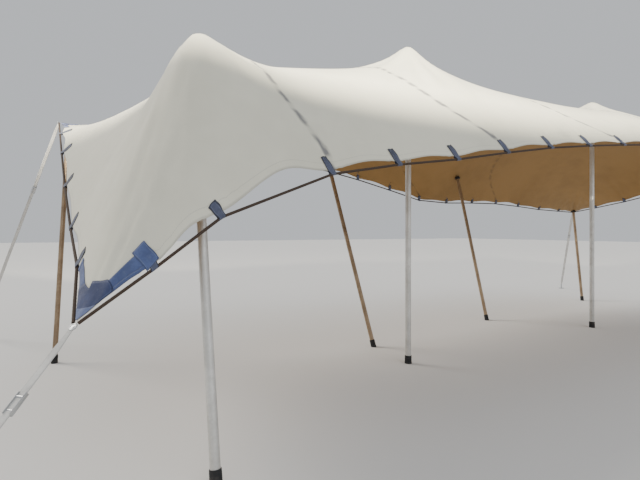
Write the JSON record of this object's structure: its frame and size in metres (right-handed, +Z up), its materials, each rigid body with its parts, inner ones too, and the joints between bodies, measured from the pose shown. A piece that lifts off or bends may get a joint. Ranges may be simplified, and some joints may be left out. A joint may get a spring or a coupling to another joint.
{
  "type": "stretch tent",
  "caption": "Stretch-fabric canopy with peaks on king poles, leaning side poles, laced edge rope and straps to ground anchors.",
  "frame": {"origin": "middle of the plan of the whole tent with its ground anchors, on the ground", "axes": "+X along the front edge from the low corner to the raised end, +Y from the front edge to the back, +Z up"},
  "size_m": [12.37, 5.92, 3.5834],
  "materials": {
    "canopy_fabric": "matt cream stretch polyester, coated",
    "corner_webbing": "blue-grey coated webbing cloth, stitched",
    "edge_rope": "dark braided rope with grey-blue webbing tabs",
    "strap_webbing": "pale polyester ratchet webbing",
    "pole_aluminium": "dull drawn aluminium tube",
    "pole_rubber": "black moulded rubber",
    "galvanised_steel": "dull galvanised steel"
  },
  "bodies": {
    "root": {"back_edge_rope": "edge_rope", "back_left_corner_patch": "corner_webbing", "back_left_corner_plate": "galvanised_steel", "back_left_ground_anchor": "galvanised_steel", "back_left_pole_foot": "pole_rubber", "back_left_pole_head": "pole_rubber", "back_left_pole_tube": "pole_aluminium", "back_left_strap": "strap_webbing", "back_middle_pole_foot": "pole_rubber", "back_middle_pole_head": "pole_rubber", "back_middle_pole_tube": "pole_aluminium", "back_right_corner_patch": "corner_webbing", "back_right_corner_plate": "galvanised_steel", "back_right_ground_anchor": "galvanised_steel", "back_right_pole_foot": "pole_rubber", "back_right_pole_head": "pole_rubber", "back_right_pole_tube": "pole_aluminium", "back_right_strap": "strap_webbing", "canopy_panel_1": "canopy_fabric", "canopy_panel_2": "canopy_fabric", "canopy_panel_3": "canopy_fabric", "canopy_panel_4": "canopy_fabric", "canopy_panel_5": "canopy_fabric", "far_corner_pole_foot": "pole_rubber", "far_corner_pole_head": "pole_rubber", "far_corner_pole_tube": "pole_aluminium", "front_edge_rope": "edge_rope", "front_left_corner_patch": "corner_webbing", "front_left_corner_plate": "galvanised_steel", "front_left_ground_anchor": "galvanised_steel", "front_left_strap": "strap_webbing", "front_right_corner_patch": "corner_webbing", "front_right_corner_plate": "galvanised_steel", "front_right_ground_anchor": "galvanised_steel", "front_right_pole_foot": "pole_rubber", "front_right_pole_head": "pole_rubber", "front_right_pole_tube": "pole_aluminium", "front_right_strap": "strap_webbing", "king_pole_1_foot": "pole_rubber", "king_pole_1_head": "pole_rubber", "king_pole_1_tube": "pole_aluminium", "king_pole_2_foot": "pole_rubber", "king_pole_2_head": "pole_rubber", "king_pole_2_tube": "pole_aluminium", "king_pole_3_foot": "pole_rubber", "king_pole_3_head": "pole_rubber", "king_pole_3_tube": "pole_aluminium", "left_edge_rope": "edge_rope", "right_edge_rope": "edge_rope"}
  },
  "joints": []
}
